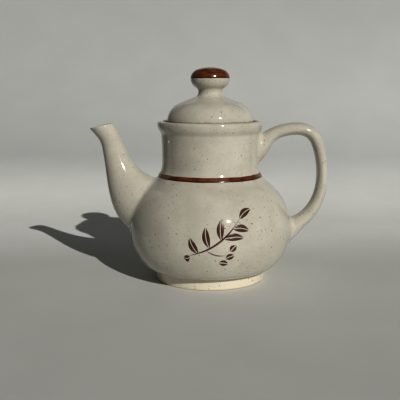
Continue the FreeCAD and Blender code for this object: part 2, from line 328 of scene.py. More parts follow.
def soften(points, radius, closed=False):
    """The line with its corners rounded, as glaze rounds an edge."""
    fine = spaced(points, FINE)
    reach = ceil(1.5 * radius / FINE)
    if closed:
        fine = fine[:-1]
        padded = np.concatenate([fine[-reach:], fine, fine[:reach]])
    else:
        across = np.array([-1, 1])
        padded = np.concatenate([fine[reach:0:-1] * across, fine, fine[-2:-reach - 2:-1] * across])
    weights = np.exp(-0.5 * (np.arange(-reach, reach + 1) * FINE / (0.5 * radius)) ** 2)
    weights /= weights.sum()
    return np.stack([np.convolve(column, weights, "valid") for column in padded.T], -1)


def thinned(points, longest):
    """Fewer points: close together where the line bends, up to a longest gap where it doesn't."""
    longest = np.broadcast_to(longest, len(points))
    heading = np.unwrap(np.arctan2(*np.diff(points, axis=0).T[::-1]))
    kept, run, turn = [0], 0, 0
    for i in range(1, len(points) - 1):
        run += hypot(*(points[i] - points[i - 1]))
        turn += abs(heading[i] - heading[i - 1])
        if run >= longest[i] or turn >= BEND_STEP:
            kept.append(i)
            run = turn = 0
    return points[kept + [len(points) - 1]]


# Outlines

SHOULDER_RISE = sqrt(
    (BELLY_RADIUS + SHOULDER_ROUND) ** 2 - (NECK_RADIUS + SHOULDER_ROUND - BELLY_CENTRE[0]) ** 2
)
SHOULDER_CENTRE = (NECK_RADIUS + SHOULDER_ROUND, BELLY_CENTRE[1] + SHOULDER_RISE)
TANGENT = degrees(atan2(SHOULDER_RISE, SHOULDER_CENTRE[0] - BELLY_CENTRE[0]))
KNOB_ROUND = (
    hypot(STEM_CENTRE[0] - KNOB_CENTRE[0], STEM_CENTRE[1] - KNOB_CENTRE[1]) - STEM_ROUND
)


def outer_wall():
    """Belly and neck from outside, from the foot's crease up to the rim's crest."""
    reach = BELLY_RADIUS - BELLY_FOOT_ROUND
    low = degrees(np.arcsin((FOOT_HEIGHT + BELLY_FOOT_ROUND - BELLY_CENTRE[1]) / reach))
    side_z = RIM_Z - RIM_EDGE
    under_rim = (RIM_RADIUS - RIM_ROUND, side_z)
    hollow = on_circle(under_rim, RIM_ROUND + RIM_HOLLOW, -RIM_LEAN)
    run = NECK_RADIUS + TAPER_ROUND - hollow[0]
    drop = sqrt((TAPER_ROUND - RIM_HOLLOW) ** 2 - run**2)
    meeting = 180 - degrees(atan2(drop, run))
    return path(
        arc(on_circle(BELLY_CENTRE, reach, low), BELLY_FOOT_ROUND, -90, low),
        arc(BELLY_CENTRE, BELLY_RADIUS, low, TANGENT),
        arc(SHOULDER_CENTRE, SHOULDER_ROUND, 180 + TANGENT, 180),
        arc((hollow[0] + run, hollow[1] - drop), TAPER_ROUND, 180, meeting),
        arc(hollow, RIM_HOLLOW, meeting, 180 - RIM_LEAN),
        arc(under_rim, RIM_ROUND, -RIM_LEAN, 0),
        arc((RIM_RADIUS - RIM_EDGE, side_z), RIM_EDGE, 0, 90),
    )


def pot_outline():
    """Belly and neck, up the outside and down the inside, where points may lie further apart."""
    hidden = (FOOT_BORE + FOOT_TOP_RADIUS) / 2
    floor = degrees(np.arcsin((FLOOR_Z - BELLY_CENTRE[1]) / (BELLY_RADIUS - WALL)))
    line = path(
        (0, UNDERSIDE_Z),
        (hidden, UNDERSIDE_Z),
        (hidden, FOOT_HEIGHT),
        outer_wall(),
        arc((SEAT_RADIUS + SEAT_EDGE, RIM_Z - SEAT_EDGE), SEAT_EDGE, 90, 180),
        (SEAT_RADIUS, SEAT_Z),
        (NECK_RADIUS - WALL, SEAT_Z),
        arc(SHOULDER_CENTRE, SHOULDER_ROUND + WALL, 180, 180 + TANGENT),
        arc(BELLY_CENTRE, BELLY_RADIUS - WALL, TANGENT, floor),
        (0, FLOOR_Z),
    )
    line = soften(line, WALL_SOFT)
    past_crest = (np.arange(len(line)) - line[:, 1].argmax()) * FINE
    return thinned(line, np.where(past_crest > 5, INSIDE_STEP, WALL_STEP))


def foot_outline():
    """The foot ring's section, lapped up into the belly's wall."""
    top = FOOT_HEIGHT + FOOT_LAP
    line = path(
        (FOOT_BORE, top),
        (FOOT_BORE, 0),
        (FOOT_RADIUS, 0),
        (FOOT_TOP_RADIUS, FOOT_HEIGHT),
        (FOOT_TOP_RADIUS, top),
        (FOOT_BORE, top),
    )
    return thinned(soften(line, FOOT_SOFT, closed=True), FOOT_STEP)


def crown_angle():
    """Where the dome's round shoulder turns into the straight slope up to the stem."""
    run, rise = STEM_CENTRE[0] - DOME_CENTRE[0], STEM_CENTRE[1] - DOME_CENTRE[1]
    return degrees(atan2(rise, run) - np.arccos((DOME_ROUND + STEM_ROUND) / hypot(run, rise)))


def knob_side(z):
    """Angle on the knob's round side at a height."""
    return degrees(np.arcsin((z - KNOB_CENTRE[1]) / KNOB_ROUND))


def lid_edge_hollow():
    """Centre of the small hollow above the lid's edge, and the angle where it meets the dome."""
    reach = DOME_ROUND + LID_EDGE_HOLLOW
    centre_z = LID_LOW_Z + LID_EDGE_HEIGHT + LID_EDGE_HOLLOW
    meeting = degrees(np.arcsin((centre_z - DOME_CENTRE[1]) / reach))
    return on_circle(DOME_CENTRE, reach, meeting), meeting


def lid_outline():
    """Dome, flange and knob, up to where the brown cap covers them."""
    crown = crown_angle()
    inner = DOME_ROUND - LID_WALL
    spring = degrees(np.arccos((FLANGE_BORE - DOME_CENTRE[0]) / inner))
    under_stem = on_circle(STEM_CENTRE, STEM_ROUND + LID_WALL, crown + 180)
    hollow_centre, hollow = lid_edge_hollow()
    to_knob = degrees(atan2(KNOB_CENTRE[1] - STEM_CENTRE[1], KNOB_CENTRE[0] - STEM_CENTRE[0]))
    under_cap = CAP_Z + CAP_LAP
    line = path(
        (0, under_stem[1]),
        under_stem,
        arc(DOME_CENTRE, inner, crown, spring),
        (FLANGE_BORE, FLANGE_LOW_Z),
        (FLANGE_RADIUS, FLANGE_LOW_Z),
        (FLANGE_RADIUS, LID_LOW_Z),
        (LID_RADIUS, LID_LOW_Z),
        (LID_RADIUS, LID_LOW_Z + LID_EDGE_HEIGHT),
        arc(hollow_centre, LID_EDGE_HOLLOW, 270, 180 + hollow),
        arc(DOME_CENTRE, DOME_ROUND, hollow, crown),
        arc(STEM_CENTRE, STEM_ROUND, crown + 180, to_knob),
        arc(KNOB_CENTRE, KNOB_ROUND, to_knob - 180, knob_side(under_cap)),
        (KNOB_CENTRE[0], under_cap + CAP_FILL * (KNOB_TOP_Z - under_cap)),
        (0, KNOB_TOP_Z - CAP_COVER),
    )
    return thinned(soften(line, LID_SOFT), LID_STEP)


# Meshes

def loop_faces(rows, closed=False):
    """Quads between rows of vertex numbers that run round an axis; a row of one is a pole."""
    faces = []
    pairs = list(zip(rows, rows[1:])) + ([(rows[-1], rows[0])] if closed else [])
    for low, high in pairs:
        if len(low) == len(high) == 1:
            continue
        if len(low) == 1:
            faces += [(low[0], b, a) for a, b in zip(high, np.roll(high, -1))]
        elif len(high) == 1:
            faces += [(a, b, high[0]) for a, b in zip(low, np.roll(low, -1))]
        else:
            corners = zip(low, np.roll(low, -1), np.roll(high, -1), high)
            faces += [tuple(quad) for quad in corners]
    return faces


def turns():
    """The direction of each side of a turned piece, in radians."""
    return 2 * pi * np.arange(SIDES) / SIDES


def revolved(outline, closed=False):
    """Points and faces of a turned piece. An outline is one line, or one for each side."""
    turn = turns()
    points, rows, count = [], [], 0
    for r, z in np.moveaxis(np.asarray(outline), -1, 1):
        r, z = np.broadcast_to(r, SIDES), np.broadcast_to(z, SIDES)
        ring = np.stack([r * np.cos(turn), r * np.sin(turn), z], -1)
        if abs(r).max() < TINY:
            ring = ring[:1]
        rows.append(np.arange(count, count + len(ring)))
        points.append(ring)
        count += len(ring)
    return np.concatenate(points), loop_faces(rows, closed)


def signed_volume(points, faces):
    """Six times the volume that a closed mesh encloses, negative if its faces turn inward."""
    total = 0
    for count in (3, 4):
        same = np.array([face for face in faces if len(face) == count])
        for last in range(2, count if len(same) else 0):
            a, b, c = (points[same[:, corner]] for corner in (0, last - 1, last))
            total += np.einsum("ij,ij->i", a, np.cross(b, c)).sum()
    return total


# Every piece goes through the same slight warp, as clay does in the kiln, so joints stay closed.
# Each row: wave direction, wavelength in mm, phase, push direction
WARP_WAVES = [
    ((1.0, 0.3, 0.2), 83.0, 0.4, (0.0, 1.0, 0.3)),
    ((0.2, 1.0, 0.5), 71.0, 1.9, (1.0, 0.0, 0.2)),
    ((-0.4, 0.5, 1.0), 57.0, 2.7, (0.7, 0.7, 0.0)),
    ((0.8, -0.6, 0.7), 39.0, 4.1, (-0.5, 0.6, 0.5)),
]
WARP = 0.05
TRIM = 0.9988                 # keeps the warped shape inside the size that the CAD gives,
TRIM_RISE = 5.0               # and takes effect upward over this height


def warped(points):
    """Points as the kiln moves them, trimmed to size and never below the ground."""
    moved = points.copy()
    for direction, wavelength, phase, push in WARP_WAVES:
        wave = np.sin(points @ np.array(direction) * 2 * pi / wavelength + phase)
        moved += WARP * wave[:, None] * np.array(push)
    moved[:, 2] *= np.clip(points[:, 2] / TRIM_RISE, 0, 1) * (TRIM - 1) + 1
    moved[:, :2] *= TRIM
    moved[:, 2] = np.maximum(moved[:, 2], 0)
    return moved


def make_piece(name, points, faces, body, paint, stands_for=()):
    """A closed mesh as a piece on a CAD body, in the finish given."""
    if signed_volume(points, faces) < 0:
        faces = [tuple(reversed(face)) for face in faces]
    mesh = bpy.data.meshes.new(name)
    mesh.from_pydata((warped(points) * MM).tolist(), [], [list(map(int, f)) for f in faces])
    mesh.polygons.foreach_set("use_smooth", [True] * len(mesh.polygons))
    mesh.materials.append(paint)
    piece = bpy.data.objects.new(name, mesh)
    bpy.context.collection.objects.link(piece)
    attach(piece, body)
    if stands_for:
        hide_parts(*stands_for)
    return piece


def bore_out(piece, radius, start, end):
    """Cuts a round hole along a line in the X-Z plane."""
    start, end = Vector((start[0], 0, start[1])), Vector((end[0], 0, end[1]))
    along = end - start
    bpy.ops.mesh.primitive_cylinder_add(
        vertices=HOLE_SIDES, radius=radius * MM, depth=along.length * MM
    )
    cutter = bpy.context.object
    cutter.location = (start + end) / 2 * MM
    cutter.rotation_euler = along.to_track_quat("Z", "Y").to_euler()
    bpy.context.view_layer.update()
    cut = piece.modifiers.new("hole", "BOOLEAN")
    cut.object, cut.operation, cut.solver = cutter, "DIFFERENCE", "EXACT"
    shown = piece.evaluated_get(bpy.context.evaluated_depsgraph_get())
    shaped = bpy.data.meshes.new_from_object(shown)
    piece.modifiers.clear()
    piece.data = shaped
    bpy.data.objects.remove(cutter)


# Distance fields, for the pieces that blend into the pot's wall

class Table:
    """Values worked out at the points of a flat grid, to be read between them."""

    def __init__(self, low, high, step, compute):
        axes = [np.arange(start, end + step, step) for start, end in zip(low, high)]
        self.low, self.step = low, step
        self.values = compute(*np.meshgrid(*axes, indexing="ij"))

    def at(self, first, second):
        """The values at places anywhere on the grid."""
        shape = self.values[0].shape
        u = np.clip((first - self.low[0]) / self.step, 0, shape[0] - 1.001)
        v = np.clip((second - self.low[1]) / self.step, 0, shape[1] - 1.001)
        i, j = u.astype(int), v.astype(int)
        u, v = u - i, v - j
        return [
            (t[i, j] * (1 - u) + t[i + 1, j] * u) * (1 - v)
            + (t[i, j + 1] * (1 - u) + t[i + 1, j + 1] * u) * v
            for t in self.values
        ]


def wall_field():
    """Distance outside the belly and neck, taken as solid inside."""
    line = soften(path((0, FOOT_HEIGHT), outer_wall(), (0, RIM_Z)), WALL_SOFT)
    line = line[(line[:, 0] > FOOT_BORE) | (line[:, 1] > FLOOR_Z)]
    line = thinned(line, FIELD_STEP)
    outer = line[: line[:, 1].argmax()]

    def compute(r, z):
        nearest = np.full(r.shape, np.inf)
        for a, b in zip(outer, outer[1:]):
            along = b - a
            share = ((r - a[0]) * along[0] + (z - a[1]) * along[1]) / (along @ along)
            share = np.clip(share, 0, 1)
            gap = np.hypot(r - a[0] - share * along[0], z - a[1] - share * along[1])
            nearest = np.minimum(nearest, gap)
        inside = r < np.interp(z, outer[:, 1], outer[:, 0])
        return [np.where(inside, -nearest, nearest)]

    table = Table(*WALL_SPACE, WALL_GRID, compute)
    return lambda x, y, z: table.at(np.hypot(x, y), z)[0]


def fair(rows, count):
    """Smooth curve through rows of numbers: a natural cubic spline along their centres."""
    rows = np.array(rows, float)
    knots = travelled(rows[:, :2])
    gaps = np.diff(knots)
    size = len(rows)
    system, right = np.eye(size), np.zeros(rows.shape)
    for i in range(1, size - 1):
        system[i, i - 1:i + 2] = gaps[i - 1], 2 * (gaps[i - 1] + gaps[i]), gaps[i]
        slopes = (rows[i + 1] - rows[i]) / gaps[i] - (rows[i] - rows[i - 1]) / gaps[i - 1]
        right[i] = 6 * slopes
    bend = np.linalg.solve(system, right)
    marks = np.linspace(0, knots[-1], count)
    k = np.clip(np.searchsorted(knots, marks) - 1, 0, size - 2)
    gap = gaps[k][:, None]
    before = (marks - knots[k])[:, None]
    after = (knots[k + 1] - marks)[:, None]
    return (
        (bend[k] * after**3 + bend[k + 1] * before**3) / (6 * gap)
        + (rows[k] / gap - bend[k] * gap / 6) * after
        + (rows[k + 1] / gap - bend[k + 1] * gap / 6) * before
    )


def between_sections(ahead, aside):
    """The nearest section before each point, and the point's share of the way to the next one."""
    between = (ahead[:, :-1] >= 0) & (ahead[:, 1:] < 0)
    before = np.where(between, abs(aside[:, :-1]), np.inf).argmin(1)
    point = np.arange(len(before))
    step = ahead[point, before] - ahead[point, before + 1]
    share = ahead[point, before] / np.where(step == 0, 1, step)
    outside = ~between[point, before]
    past_last = outside & (ahead[:, -1] >= 0)
    before = np.where(past_last, ahead.shape[1] - 2, before)
    return before, np.where(outside, past_last.astype(float), share)


def tube_field(rows, low, high):
    """Distances outside a tube of oval sections, bent in the X-Z plane, and past its ends."""
    x0, z0, lean, half_long, half_wide = fair(rows, SECTIONS).T
    long_axis = np.stack([np.cos(np.radians(lean)), np.sin(np.radians(lean))])
    onward = np.stack([-long_axis[1], long_axis[0]])
    travel = np.gradient(x0) * onward[0] + np.gradient(z0) * onward[1]
    onward *= np.sign(travel)

    def compute(x, z):
        x, z, shape = x.ravel(), z.ravel(), x.shape
        ahead = np.outer(x, onward[0]) + np.outer(z, onward[1]) - (x0 * onward[0] + z0 * onward[1])
        aside = np.outer(x, long_axis[0]) + np.outer(z, long_axis[1])
        aside -= x0 * long_axis[0] + z0 * long_axis[1]
        k, share = between_sections(ahead, aside)
        mixed = [
            (1 - share) * values[k] + share * values[k + 1] for values in (half_long, half_wide)
        ]
        point = np.arange(len(x))
        offset = (1 - share) * aside[point, k] + share * aside[point, k + 1]
        beyond = np.maximum(-ahead[:, 0], ahead[:, -1])
        return [values.reshape(shape) for values in (offset, *mixed, beyond)]

    table = Table(low, high, TUBE_GRID, compute)

    def distances(x, y, z):
        offset, a, b, beyond = table.at(x, z)
        scaled = np.sqrt((offset / a) ** 2 + (y / b) ** 2) + 1e-9
        slope = np.sqrt((offset / a**2) ** 2 + (y / b**2) ** 2) + 1e-9
        return scaled * (scaled - 1) / slope, beyond

    return distances


def blend_min(a, b, reach):
    """The lesser of two distances, with a soft hollow where they meet."""
    near = np.maximum(reach - abs(a - b), 0) / reach
    return np.minimum(a, b) - near**2 * reach / 4


def blend_max(a, b, reach):
    """The greater of two distances, with a soft edge where they meet."""
    return -blend_min(-a, -b, reach)


def skin(field, low, high, cell):
    """Closed quad mesh of a distance field's surface, its points evened out and drawn onto it."""
    axes = [np.arange(start, end + cell, cell) for start, end in zip(low, high)]
    values = field(*np.meshgrid(*axes, indexing="ij"))
    grid = openvdb.FloatGrid(3 * cell)
    grid.copyFromArray(np.clip(values, -3 * cell, 3 * cell).astype(np.float32))
    points, faces = grid.convertToQuads(isovalue=0.0)
    points = points.astype(float) * cell + np.array(low)
    edges = np.concatenate([faces[:, [k, (k + 1) % 4]] for k in range(4)])
    edges = np.unique(np.sort(edges, axis=1), axis=0)
    ends = np.concatenate([edges, edges[:, ::-1]])
    count = np.bincount(ends[:, 0], minlength=len(points))[:, None]
    for _ in range(SMOOTHINGS):
        beside = [np.bincount(ends[:, 0], column[ends[:, 1]], len(points)) for column in points.T]
        points = 0.5 * points + 0.5 * np.stack(beside, -1) / count
        points = drawn_on(field, drawn_on(field, points))
    return points, faces.tolist()


def drawn_on(field, points):
    """Points moved along the field's slope onto its surface."""
    nudge, furthest = 0.05, 0.5
    here = field(*points.T)
    rises = [
        field(*(points + nudge * step).T) - field(*(points - nudge * step).T)
        for step in np.eye(3)
    ]
    slope = np.stack(rises, -1) / (2 * nudge)
    steepness = np.maximum((slope**2).sum(1), 0.25)
    return points - np.clip(here / steepness, -furthest, furthest)[:, None] * slope


# Pieces of the pot

def branch(rows, space, fillet, wall, hollow=None):
    """Mesh of a tube that grows out of the pot's wall, with a soft fillet round its root."""
    corners = [(x, z) for x, y, z in space]
    tube = tube_field(rows, *corners)
    bore = tube_field(hollow, *corners) if hollow else None

    def field(x, y, z):
        outside = wall(x, y, z)
        side, beyond = tube(x, y, z)
        solid = blend_min(side, outside + SINK, fillet)
        if bore:
            solid = blend_max(solid, -bore(x, y, z)[0], LIP_ROUND)
            solid = blend_max(solid, beyond, LIP_ROUND)
        return np.maximum(solid, np.maximum(-outside - SKIRT, side - fillet - COLLAR))

    return skin(field, *space, SKIN_STEP)


def spout_bore_rows():
    """The hollow of the spout, run out past the mouth."""
    rows = [(x, z, lean, a - SPOUT_WALL, b - SPOUT_WALL) for x, z, lean, a, b in SPOUT_ROWS[:-1]]
    x, z, lean, a, b = SPOUT_ROWS[-1]
    rows.append((x, z, lean, a - SPOUT_LIP, b - SPOUT_LIP))
    past = on_circle((x, z), 2 * SPOUT_LIP, lean + 90)
    rows.append((past[0], past[1], lean, a - SPOUT_LIP / 2, b - SPOUT_LIP / 2))
    return rows


def shoulder_radius(z):
    """Radius of the hollow shoulder at a height."""
    return SHOULDER_CENTRE[0] - np.sqrt(SHOULDER_ROUND**2 - (z - SHOULDER_CENTRE[1]) ** 2)


def wobble(turn, terms, size):
    """A closed hand-drawn line's drift from true. terms: (waves per turn, phase)."""
    return size * sum(np.sin(waves * turn + phase) for waves, phase in terms) / len(terms)


def band_outline():
    """Cordon of brown glaze, with the brush's uneven edges."""
    turn = turns()
    low = BAND_LOW_Z + wobble(turn, [(1, 0.5), (3, 1.0), (7, 4.0), (16, 2.0)], BAND_DRIFT)
    high = BAND_HIGH_Z + wobble(turn, [(1, 2.2), (4, 3.0), (9, 0.3), (19, 5.0)], BAND_DRIFT)
    share = np.linspace(0, 1, 13)[:, None]
    z = low + (high - low) * share
    swell = BAND_PROUD * (1 - (2 * share - 1) ** 4) - SINK
    outer = np.stack([shoulder_radius(z) + swell, z], -1)
    inner = np.stack([shoulder_radius(z) - BAND_DEPTH, z], -1)[::-2]
    return np.concatenate([outer, inner])


def cap_outline():
    """Brown glaze over the top of the knob, ending in the uneven line it was dipped to."""
    turn = turns()
    edge = CAP_Z + wobble(turn, [(1, 1.1), (2, 4.4), (5, 0.6), (11, 2.5)], CAP_DRIFT)
    rise = KNOB_TOP_Z - KNOB_CENTRE[1]
    crown_radius = (KNOB_CENTRE[0] ** 2 + rise**2 - KNOB_ROUND**2) / (2 * (rise - KNOB_ROUND))
    crown_centre = (0, KNOB_TOP_Z - crown_radius)
    tangent = degrees(atan2(KNOB_CENTRE[1] - crown_centre[1], KNOB_CENTRE[0]))
    line = path(
        arc(KNOB_CENTRE, KNOB_ROUND, knob_side(CAP_Z - 2), tangent),
        arc(crown_centre, crown_radius, tangent, 90),
    )
    along = travelled(line)
    share = np.concatenate([np.linspace(0, 0.1, 9), np.linspace(0.13, 1, 30)])[:, None]
    start = np.interp(edge, line[:, 1], along)
    place = start + (along[-1] - start) * share
    outer = np.stack([np.interp(place, along, column) for column in line.T], -1)
    outward = outer - np.array([0, KNOB_CENTRE[1]])
    outward /= np.linalg.norm(outward, axis=-1, keepdims=True)
    rounded_edge = np.sqrt(np.clip(share / 0.06, 0, 1))
    swell = CAP_PROUD * rounded_edge * (1 - share) - SINK * (1 - share)
    inner = (outer - CAP_DEPTH * outward)[::-1]
    return np.concatenate([outer + swell[..., None] * outward, inner])


def on_belly(x, z, proud):
    """Places on the front of the belly, lifted along its normal."""
    slope = (z - BELLY_CENTRE[1]) / BELLY_RADIUS
    level = np.sqrt(1 - slope**2)
    radius = BELLY_CENTRE[0] + BELLY_RADIUS * level
    x = x * (1 + proud * level / radius)
    y = -np.sqrt((radius + proud * level) ** 2 - x**2)
    return np.stack([x, y, z + proud * slope], -1)


def stroke(start, end, bulge, back):
    """A printed stroke between two bows that nearly meet at their ends, as a closed skin."""
    start, end = np.array(start) + MOTIF_CENTRE, np.array(end) + MOTIF_CENTRE
    side = np.array([start[1] - end[1], end[0] - start[0]]) / hypot(*(end - start))
    along = np.linspace(0.02, 0.98, 26)[:, None]
    across = np.linspace(0, 1, 6)
    bow = (bulge + (back - bulge) * across) * 4 * along * (1 - along)
    x, z = [start[k] + (end[k] - start[k]) * along + side[k] * bow for k in (0, 1)]
    top = on_belly(x, z, PRINT_PROUD * (1 - (2 * across - 1) ** 4) + SINK)
    under = on_belly(x, z, np.full(across.shape, -PRINT_DEPTH))[:, ::-1]
    rings = np.concatenate([top, under], axis=1)
    rows = np.arange(rings.shape[0] * rings.shape[1]).reshape(rings.shape[:2])
    faces = loop_faces(list(rows)) + [tuple(rows[0][::-1]), tuple(rows[-1])]
    return rings.reshape(-1, 3), faces


def halves(x, z, angle, length, half_wide, slit, bend):
    """Two strokes either side of a slit: a leaf or a coffee bean."""
    start = np.array([x, z])
    end = on_circle(start, length, angle)
    strokes = []
    for sign in (1, -1):
        gap = on_circle((0, 0), slit / 2, angle + 90 * sign)
        strokes.append(stroke(start + gap, end + gap, bend + sign * half_wide, bend))
    return strokes


def sprig():
    """All the strokes of the printed coffee sprig in one mesh."""
    strokes = [stroke(*stem) for stem in MOTIF_STEMS]
    for leaf in MOTIF_LEAVES:
        strokes += halves(*leaf, LEAF_HALF_WIDE, LEAF_SLIT, LEAF_BEND)
    for bean in MOTIF_BEANS:
        strokes += halves(*bean, BEAN_HALF_WIDE, BEAN_SLIT, BEAN_BEND)
    points, faces, count = [], [], 0
    for stroke_points, stroke_faces in strokes:
        faces += [tuple(corner + count for corner in face) for face in stroke_faces]
        points.append(stroke_points)
        count += len(stroke_points)
    return np.concatenate(points), faces


# Finishes

class Nodes:
    """Builder of the nodes of a material or a world."""

    def __init__(self, owner):
        owner.use_nodes = True
        self.tree = owner.node_tree

    def node(self, kind, inputs=None, **settings):
        """A node with its settings made, then its inputs given as sockets or constants."""
        made = self.tree.nodes.new("ShaderNode" + kind)
        for setting, value in settings.items():
            setattr(made, setting, value)
        for key, value in (inputs or {}).items():
            self.give(made.inputs[key], value)
        return made

    def give(self, socket, value):
        """Joins another node's output to an input, or sets it to a constant."""
        if isinstance(value, bpy.types.NodeSocket):
            self.tree.links.new(value, socket)
        else:
            socket.default_value = value

    def mix(self, share, first, second):
        """The first colour, giving way to the second as the share goes from 0 to 1."""
        made = self.node("Mix", {0: share, 6: first, 7: second}, data_type="RGBA")
        return made.outputs[2]


class Paint(Nodes):
    """A procedural material, built in millimetres of the part's own frame."""

    def __init__(self, name):
        self.material = bpy.data.materials.new(name)
        super().__init__(self.material)
        self.shader = self.tree.nodes["Principled BSDF"]
        frame_place = self.node("TexCoord").outputs["Object"]
        to_mm = self.node("VectorMath", {0: frame_place, "Scale": 1 / MM}, operation="SCALE")
        self.place = to_mm.outputs[0]
        self.axes = self.node("SeparateXYZ", {0: self.place}).outputs

    def math(self, operation, first, second):
        """One of the Math node's operations on two values."""
        return self.node("Math", {0: first, 1: second}, operation=operation).outputs[0]

    def noise(self, size, detail=2.0, stretch=(1, 1, 1), rough=0.5):
        """Noise from 0 to 1 whose blots are about so many millimetres across."""
        place = self.node("VectorMath", {0: self.place, 1: stretch}, operation="MULTIPLY")
        inputs = {"Vector": place.outputs[0], "Scale": 1 / size}
        inputs |= {"Detail": detail, "Roughness": rough}
        return self.node("TexNoise", inputs).outputs["Fac"]

    def span(self, value, low, high, to_low=0.0, to_high=1.0):
        """A value's range carried over to another one, with soft ends."""
        inputs = {0: value, 1: low, 2: high, 3: to_low, 4: to_high}
        return self.node("MapRange", inputs, interpolation_type="SMOOTHSTEP").outputs[0]

    def varied(self, least, most, size, detail=2.0, rough=0.5):
        """A value that wanders between two others, over the most common part of the noise."""
        return self.span(self.noise(size, detail, rough=rough), 0.3, 0.7, least, most)

    def specks(self, spacing, smallest, largest, share):
        """1 inside scattered spots of iron, 0 around them. Sizes are radii in millimetres."""
        ragged = self.node("TexNoise", {"Vector": self.place, "Scale": 1.4}).outputs["Color"]
        drift = self.node("VectorMath", {0: ragged, "Scale": SPECK_RAGGED}, operation="SCALE")
        inputs = {0: self.place, 1: drift.outputs[0]}
        place = self.node("VectorMath", inputs, operation="ADD").outputs[0]
        cells = self.node("TexVoronoi", {"Vector": place, "Scale": 1 / spacing}).outputs
        lots = self.node("SeparateColor", {0: cells["Color"]}).outputs
        radius = self.span(lots[1], 0, 1, smallest / spacing, largest / spacing)
        inside = self.math("SUBTRACT", radius, cells["Distance"])
        spot = self.span(inside, 0, 0.25 * smallest / spacing)
        return self.math("MULTIPLY", spot, self.math("LESS_THAN", lots[0], share))

    def bump(self, height, strength, distance, under=None):
        """Unevenness that stands up to a distance in millimetres, on top of another one."""
        inputs = {"Strength": strength, "Distance": distance * MM, "Height": height}
        if under:
            inputs["Normal"] = under
        return self.node("Bump", inputs).outputs[0]

    def finish(self, **sockets):
        """Joins values to the shader, with spaces in its socket names written as _."""
        for name, value in sockets.items():
            self.give(self.shader.inputs[name.replace("_", " ")], value)
        return self.material


def skin_bump(paint):
    """The slight waviness of dipped glaze."""
    broad = paint.bump(paint.noise(11.0, 1.0), 0.5, 0.05)
    return paint.bump(paint.noise(2.4, 2.0), 0.35, 0.012, broad)


def iron_specks(paint):
    """Many small specks and some larger ones, crowded in places."""
    small, large = [
        paint.math("MULTIPLY", paint.specks(*sizes), strength) for *sizes, strength in SPECKS
    ]
    crowded = paint.span(paint.noise(30.0, 1.0), 0.35, 0.6, 0.6, 1)
    return paint.math("MULTIPLY", paint.math("MAXIMUM", small, large), crowded)


def wiped(paint, edge_z):
    """1 where the glaze is wiped off, below an uneven line at a height, and 0 above it. On the lid
    this part is also painted shade.
    """
    stray = paint.varied(-WIPE_DRIFT, WIPE_DRIFT, 6.0)
    level = paint.math("ADD", paint.axes[2], stray)
    return paint.span(level, edge_z - WIPE_SOFT, edge_z + WIPE_SOFT, 1, 0)


def cream_glaze(name, bare_and_gap_shade_z, clay_and_gap_shade_tone):
    """Glossy cream glaze with iron specks, wiped off to the bare clay below a height. Painted
    light makes the foot ring lighter.
    """
    paint = Paint(name)
    cloud = paint.varied(0, 1, 24.0, 4.0, 0.6)
    cream = paint.mix(cloud, CREAM_DARK, CREAM)
    fine_cloud = paint.span(paint.noise(1.1, 3.0, rough=0.7), 0.35, 0.75, 0, 0.3)
    cream = paint.mix(fine_cloud, cream, CREAM_GREY)
    # Painted light: the foot ring is made lighter and warmer, as sunlight thrown up from the floor
    foot_painted_light = paint.span(paint.axes[2], FOOT_HEIGHT + FOOT_BLUR, FOOT_HEIGHT - FOOT_BLUR)
    cream = paint.mix(foot_painted_light, cream, CREAM_FOOT_PAINTED_LIGHT)
    cream = paint.mix(iron_specks(paint), cream, SPECK)
    bare = wiped(paint, bare_and_gap_shade_z)
    # On the lid the clay tone given is painted shade, near black, for the gap under the rim
    clay = paint.mix(paint.noise(0.7, 3.0), CLAY_DARK, clay_and_gap_shade_tone)
    glazed = paint.varied(*CREAM_ROUGHNESS, 5.0, 3.0)
    rough = paint.math("MAXIMUM", glazed, paint.math("MULTIPLY", bare, CLAY_ROUGHNESS))
    return paint.finish(
        Base_Color=paint.mix(bare, cream, clay),
        Roughness=rough,
        Normal=skin_bump(paint),
        IOR=GLAZE_IOR,
        Coat_Weight=0.15,
        Coat_Roughness=0.05,
    )


def brown_glaze(name, edge_z):
    """Red-brown glaze, streaked, and darker where it pools at its lower edge."""
    paint = Paint(name)
    streaks = paint.span(paint.noise(7.0, 3.0, (1, 1, 2.5)), 0.35, 0.65)
    brown = paint.mix(streaks, BROWN_DARK, BROWN)
    freckles = paint.span(paint.noise(0.8, 3.0), 0.55, 0.75, 0, 0.4)
    pooled = paint.span(paint.axes[2], edge_z + POOL[1], edge_z + POOL[0], 0, 0.7)
    brown = paint.mix(paint.math("MAXIMUM", freckles, pooled), brown, BROWN_DEEP)
    return paint.finish(
        Base_Color=brown,
        Roughness=paint.varied(*BROWN_ROUGHNESS, 4.0),
        Normal=skin_bump(paint),
        IOR=GLAZE_IOR,
    )


def brown_print():
    """Dark brown print fired into the glaze, a little thin in places."""
    paint = Paint("brown_print")
    worn = paint.span(paint.noise(0.9, 4.0, rough=0.7), 0.5, 0.8, 0, 0.35)
    return paint.finish(
        Base_Color=paint.mix(worn, PRINT, PRINT_WORN),
        Roughness=paint.varied(*PRINT_ROUGHNESS, 2.0),
        Normal=paint.bump(paint.noise(0.5, 2.0), 0.3, 0.01),
    )


